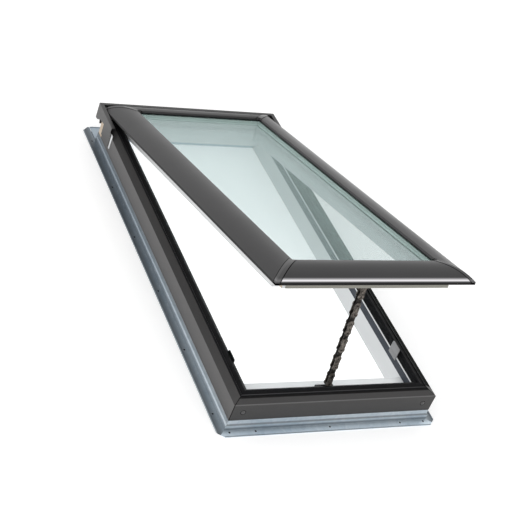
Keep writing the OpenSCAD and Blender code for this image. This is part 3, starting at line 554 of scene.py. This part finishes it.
def moulded(name, colour, rough=0.45, gloss=0.5):
    """Moulded plastic with a fine grain."""
    s = Shader(name).set(Specular_IOR_Level=gloss)
    fine = s.noise(700, detail=2)
    s.colour(s.ramp(s.noise(14), (0.3, shade(colour, 0.9)), (0.7, shade(colour, 1.1))))
    s.roughness(s.span(fine, rough - 0.06, rough + 0.08))
    s.bump(fine, strength=0.15, distance=0.0002)
    return s.material


def plated(name, colour, rough=0.35, metal=0.9):
    """Zinc-plated or machined metal, with a faint brushed grain."""
    s = Shader(name).set(Metallic=metal)
    brushed = s.noise(260, detail=4, rough=0.6, stretch=(1, 0.08, 1))
    s.colour(s.ramp(brushed, (0.3, shade(colour, 0.85)), (0.7, shade(colour, 1.08))))
    s.roughness(s.span(s.noise(40), rough - 0.06, rough + 0.1))
    s.bump(brushed, strength=0.08, distance=0.0002)
    return s.material


def oiled_chain(name, share=1.0):
    """Dark oiled steel, paler in the patches where it rubs. share multiplies its colour."""
    s = Shader(name).set(Metallic=0.7, Specular_IOR_Level=0.2)
    colour = shade(CHAIN_BROWN, share)
    patch = s.noise(150, detail=4, rough=0.6)
    s.colour(s.ramp(patch, (0.36, shade(colour, 0.3)), (0.52, colour), (0.68, shade(colour, 2.4))))
    s.roughness(s.span(patch, 0.3, 0.5))
    s.bump(s.noise(350), strength=0.2, distance=0.0003)
    return s.material


def window_glass(name, tint, mirror):
    """Flat glass that doesn't bend what is behind it: a tint, and a mirror that grows at low
    angles."""
    least_mirror, falloff = 0.04, 5
    s = Shader(name)
    s.tree.nodes.remove(s.principled)
    clear = s.node("ShaderNodeBsdfTransparent")
    tints = s.ramp(s.noise(3, detail=2), (0.3, shade(tint, 0.995)), (0.7, tint))
    s.link(tints, clear.inputs["Color"])
    gloss = s.node("ShaderNodeBsdfGlossy")
    gloss.inputs["Roughness"].default_value = 0.02
    gloss.inputs["Color"].default_value = (*mirror, 1)
    facing = s.node("ShaderNodeLayerWeight")
    facing.inputs["Blend"].default_value = 0.5
    low_angle = s.maths("POWER", facing.outputs["Facing"], falloff)
    mixed = s.node("ShaderNodeMixShader")
    s.link(s.span(low_angle, least_mirror, 1, 0, 1), mixed.inputs[0])
    s.link(clear.outputs[0], mixed.inputs[1])
    s.link(gloss.outputs[0], mixed.inputs[2])
    s.link(mixed.outputs[0], s.out.inputs["Surface"])
    return s.material


# ---------- giving the finishes to the nodes ----------

COVER_GREY = (0.035, 0.0343, 0.0355)
CLADDING_GREY = (0.0405, 0.0395, 0.0395)
CHAIN_BROWN = (0.11, 0.097, 0.085)
MOULDED_BLACK = (0.012, 0.012, 0.013)
# The colour of the painted shade in the flange's nail holes.
NAIL_HOLE_SHADE = (0.01, 0.01, 0.011)

# By material slot, for the nodes that have no finish of their own below.
SLOT_FINISHES = {
    "cladding_metal": coated_sheet(
        "cladding", CLADDING_GREY, rough=0.45, dark=front_cladding_shade, light=front_edge_highlight
    ),
    "cover_metal": coated_sheet(
        "cover", COVER_GREY, rough=0.36, coat=0.12, dark=cover_seams, dark_share=0.2
    ),
    "bright_steel": plated("bright_steel", (0.82, 0.83, 0.84)),
    "black_rubber": rubber("black_rubber"),
    "track_plastic": moulded("track", (0.034, 0.040, 0.052), gloss=0.15),
    "black_plastic": moulded("black_plastic", MOULDED_BLACK, rough=0.4),
    "screw_steel": plated("screw_steel", (0.6, 0.6, 0.6), rough=0.3),
    "painted_screw": coated_sheet("painted_screw", shade(CLADDING_GREY, 1.5), rough=0.4),
    "operator_metal": plated("operator_metal", (0.4, 0.41, 0.42), rough=0.5),
    "white_plastic": moulded("white_plastic", (0.8, 0.8, 0.79)),
    "brass": plated("brass", (0.6, 0.43, 0.17), rough=0.3, metal=1.0),
    "spacer_metal": moulded("spacer", (0.36, 0.45, 0.42), rough=0.35),
    "chain_steel": oiled_chain("chain"),
    "clear_glass": window_glass("glass", (0.986, 0.997, 0.999), (0.50, 0.62, 0.60)),
}

# The white paint is painted brighter or darker from rail to rail, as painted light and shade.
FRAME_SIDE_WOOD = painted_wood("frame_side_wood", along_y=True, bare=frame_rail_bare, white=0.64)
# The side claddings have the front cladding's grey raised 2.25 times, as painted light falling from
# the left.
LIT_SIDE_CLADDING = coated_sheet("side_cladding", shade(CLADDING_GREY, 2.25), dark=side_cladding_shade)
SIDE_FLANGE = galvanised(
    "side_flange", foot=0.75, leg=0.82, top_share=0.55,
    folds=(out_from_side, SIDE_FOOT_SHADES, SIDE_LEG_SHADES), nail_shade=side_nail_shade,
)

NODE_FINISHES = {
    "frame_left_rail": FRAME_SIDE_WOOD,
    "frame_right_rail": FRAME_SIDE_WOOD,
    "frame_bottom_rail": painted_wood("frame_end_wood", along_y=False, white=0.95),
    "frame_top_rail": painted_wood("frame_top_wood", along_y=False),
    # The sash's left and right rails have the same paint, lighter on the left and darker on the
    # right, as painted light and shade.
    "sash_left_rail": painted_wood(
        "sash_side_wood", along_y=True, bare=sash_side_bare, white=0.70
    ),
    "sash_right_rail": painted_wood(
        "sash_right_wood", along_y=True, bare=sash_side_bare, white=0.56
    ),
    "sash_bottom_rail": painted_wood("sash_end_wood", along_y=False, bare=sash_end_bare),
    "sash_top_rail": painted_wood("sash_top_wood", along_y=False),
    "cladding_left": LIT_SIDE_CLADDING,
    "cladding_right": LIT_SIDE_CLADDING,
    "top_hood": coated_sheet("hood", shade(CLADDING_GREY, 1.1), rough=0.4),
    "flange_left": SIDE_FLANGE,
    "flange_right": SIDE_FLANGE,
    "flange_bottom": galvanised(
        "front_flange", foot=0.85, leg=0.89,
        folds=(out_from_front, FRONT_FOOT_SHADES, FRONT_LEG_SHADES), nail_shade=front_nail_shade,
    ),
    # The top flange is painted darker as a whole, as shade.
    "flange_top": galvanised("top_flange", foot=0.66, leg=0.66),
    "frame_gasket": rubber("gasket", gasket_bead_highlight),
    "sash_cover_bottom": coated_sheet(
        "bottom_cover", COVER_GREY, rough=0.36, coat=0.12, dark=cover_seams, dark_share=0.1,
        light=bottom_nose_gleam, light_share=26,
    ),
    # The top cover has the other covers' grey made darker, as painted shade.
    "sash_cover_top": coated_sheet(
        "top_cover", shade(COVER_GREY, 0.7), dark=cover_seams, dark_share=0.1
    ),
    "corner_strips": coated_sheet(
        "corner_strip", shade(COVER_GREY, 1.1), rough=0.3, coat=0.2,
        light=nose_gleam, light_share=4,
    ),
    "sash_drip_strip": coated_sheet(
        "drip_strip", (0.30, 0.293, 0.255), rough=0.4, dark=under_rim, dark_share=0.25
    ),
    "chain_inner_links": oiled_chain("inner_link_steel", share=0.2),
    "chain_pins": oiled_chain("chain_pin_steel", share=0.15),
    "catch_plate_left": moulded("catch_black", MOULDED_BLACK, rough=0.4),
    "catch_plate_right": plated("catch_steel", (0.22, 0.22, 0.225), metal=0.7),
    "catch_screws": plated("catch_screw_steel", (0.24, 0.24, 0.245), metal=0.7),
}


def finish_of(node):
    return NODE_FINISHES.get(node) or SLOT_FINISHES[SLOT_OF[node]]


for node, obj in frame["nodes"].items():
    obj.data.materials.clear()
    obj.data.materials.append(finish_of(node))


# ---------- copies with rounded edges ----------

MERGE_DISTANCE = 1e-6
FLAT_ANGLE = math.radians(0.3)
SHARP_ANGLE = math.radians(30)
SMOOTH_ANGLE = math.radians(35)


def softened(node, width, segments=2, pick=None):
    """A copy of a CAD part with its sharp outer edges rounded, which is shown in its place.
    pick chooses the edges, or all of them are taken."""
    source = frame["nodes"][node]
    bm = bmesh.new()
    bm.from_mesh(source.data)
    bmesh.ops.remove_doubles(bm, verts=bm.verts, dist=MERGE_DISTANCE)
    bmesh.ops.dissolve_limit(bm, angle_limit=FLAT_ANGLE, verts=bm.verts, edges=bm.edges)
    sharp = [
        edge
        for edge in bm.edges
        if len(edge.link_faces) == 2
        and edge.is_convex
        and edge.calc_face_angle(0) > SHARP_ANGLE
        and (pick is None or pick(edge))
    ]
    bmesh.ops.bevel(
        bm, geom=sharp, offset=width, offset_type="OFFSET", segments=segments, profile=0.5,
        affect="EDGES", clamp_overlap=True,
    )
    for face in bm.faces:
        face.smooth = True
    for edge in bm.edges:
        edge.smooth = len(edge.link_faces) == 2 and edge.calc_face_angle(0) < SMOOTH_ANGLE
    mesh = bpy.data.meshes.new(f"{node}_soft")
    bm.to_mesh(mesh)
    bm.free()
    mesh.materials.append(finish_of(node))
    piece = bpy.data.objects.new(f"{node}_soft", mesh)
    bpy.context.scene.collection.objects.link(piece)
    weighted = piece.modifiers.new("weighted", "WEIGHTED_NORMAL")
    weighted.keep_sharp = True
    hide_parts(node)
    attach(piece, BODY_OF[node])
    return piece


def long_edge(least):
    return lambda edge: edge.calc_length() > least


def rim_edge(edge):
    """The upper edge of the covers' upright rim."""
    skin, least = 0.0003, 0.1
    x, y, z = (edge.verts[0].co + edge.verts[1].co) / 2
    y, z = y - HINGE[1], z - HINGE[2]
    along = y * COS_OPEN - z * SIN_OPEN + HINGE[1]
    above = y * SIN_OPEN + z * COS_OPEN + HINGE[2]
    inward = min(SASH_HALF_W - abs(x), along - SASH_Y0, SASH_Y1 - along)
    return inward < skin and above > RIM_UPPER_HALF_Z and edge.calc_length() > least


# The rounding's width, the edges that it takes, and the parts.
SOFT_GROUPS = (
    (0.0011, long_edge(0.015), ("cladding_bottom", "cladding_left", "cladding_right")),
    (
        0.0009, rim_edge,
        ("sash_cover_bottom", "sash_cover_top", "sash_cover_left", "sash_cover_right"),
    ),
    (
        0.0012, long_edge(0.02),
        (
            "sash_bottom_rail", "sash_left_rail", "sash_right_rail", "sash_top_rail",
            "frame_bottom_rail",
        ),
    ),
    (0.0006, long_edge(0.02), ("top_hood",)),
    (0.0004, None, ("catch_plate_left", "catch_plate_right")),
    (0.0008, None, ("chain_outlet",)),
)
for width, pick, nodes in SOFT_GROUPS:
    for node in nodes:
        softened(node, width, pick=pick)


# ---------- the chain, with rounded edges -------------------------

CHAIN_NODES = ("chain_outer_links", "chain_inner_links", "chain_pins", "chain_end_eye")
CHAIN_EDGE_W = 0.0004


def draw_in_chain():
    """The chain's parts, with rounded edges, each on a mesh of its own."""
    for node in CHAIN_NODES:
        piece = softened(node, CHAIN_EDGE_W, segments=1)
        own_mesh(piece)


draw_in_chain()


# ---------- camera, light and floor ----------

CAMERA_PLACE = (-1.7422, -2.5647, 2.2330)
CAMERA_RIGHT = Vector((0.88691, -0.34517, 0.30699))
CAMERA_UP = Vector((-0.00784, 0.65322, 0.75712))
CAMERA_FORWARD = Vector((0.46187, 0.67391, -0.57664))
CAMERA_SENSOR_MM = 36
CAMERA_LENS_MM = 95.3
CAMERA_REACH = 50

WORLD_STRENGTH = 0.92
KEY_PLACE = Vector((-3.2, -0.6, 1.6))
KEY_AIM = Vector((0, 0, 0.1))
KEY_SIZE = (2.4, 2.0)
KEY_WATTS = 15

FLOOR_HALF = 14
FLOOR_Z = -0.0005
FLOOR_GLOW = 0.3
# How brightly the floor glows inside the frame's opening, as painted light against the frame's
# shade.
OPENING_GLOW = 0.62


def place_camera():
    """The camera stands to the lower left of the skylight and looks down on it."""
    data = bpy.data.cameras.new("camera")
    data.sensor_width = CAMERA_SENSOR_MM
    data.lens = CAMERA_LENS_MM
    data.clip_end = CAMERA_REACH
    camera = bpy.data.objects.new("camera", data)
    bpy.context.scene.collection.objects.link(camera)
    turn = Matrix((CAMERA_RIGHT, CAMERA_UP, -CAMERA_FORWARD)).transposed().to_4x4()
    camera.matrix_world = Matrix.Translation(CAMERA_PLACE) @ turn
    bpy.context.scene.camera = camera


def light_studio():
    """A white world, with one soft light from the left."""
    world = bpy.data.worlds.new("studio")
    bpy.context.scene.world = world
    world.use_nodes = True
    background = world.node_tree.nodes["Background"]
    background.inputs["Color"].default_value = (1, 1, 1, 1)
    background.inputs["Strength"].default_value = WORLD_STRENGTH

    data = bpy.data.lights.new("key_left", "AREA")
    data.shape = "RECTANGLE"
    data.size, data.size_y = KEY_SIZE
    data.energy = KEY_WATTS
    light = bpy.data.objects.new("key_left", data)
    bpy.context.scene.collection.objects.link(light)
    light.location = KEY_PLACE
    light.rotation_euler = (KEY_AIM - KEY_PLACE).to_track_quat("-Z", "Y").to_euler()
    bpy.context.scene.view_settings.view_transform = "Standard"


def shade_under_flange(s):
    """The ring of floor that the flange hides, painted near black as shade, which shows only
    through its nail holes.
    """
    edge, top_gap = 0.004, 0.02
    low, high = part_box("flange_left")
    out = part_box("flange_right")[1]
    x, y = from_middle(s), s.axis("Y")
    inside = s.times(s.less(x, out[0] - edge), s.more(y, low[1] + edge))
    ring = either(s, s.more(x, FLANGE_INNER_X), s.less(y, FLANGE_INNER_Y))
    return s.times(s.times(inside, ring), s.less(y, high[1] - top_gap))


def inside_frame(s):
    """The floor seen through the frame's opening, which the frame would shade; the floor glows
    brighter there, as painted light.
    """
    top_reach = 0.06
    left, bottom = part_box("frame_left_rail")[1][0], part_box("frame_bottom_rail")[1][1]
    along = s.less(s.size(s.axis("Y")), -bottom + top_reach)
    return s.times(s.less(from_middle(s), -left), along)


def lay_floor():
    """A pale floor just under the flange, which glows so that it stays near white, and glows more
    inside the opening as painted light.
    """
    half = FLOOR_HALF
    corners = [(-half, -half), (half, -half), (half, half), (-half, half)]
    mesh = bpy.data.meshes.new("floor")
    mesh.from_pydata([(x, y, FLOOR_Z) for x, y in corners], [], [(0, 1, 2, 3)])
    s = Shader("floor").set(Roughness=0.9, Specular_IOR_Level=0.1)
    pale = s.ramp(s.noise(0.5, detail=2), (0.3, (0.90, 0.90, 0.90)), (0.7, (0.92, 0.92, 0.92)))
    base = s.mix(shade_under_flange(s), pale, (0.004, 0.004, 0.004))
    s.colour(base)
    s.drive("Emission Color", base)
    s.drive("Emission Strength", s.span(inside_frame(s), FLOOR_GLOW, OPENING_GLOW, 0, 1))
    mesh.materials.append(s.material)
    floor = bpy.data.objects.new("floor", mesh)
    bpy.context.scene.collection.objects.link(floor)


place_camera()
light_studio()
lay_floor()
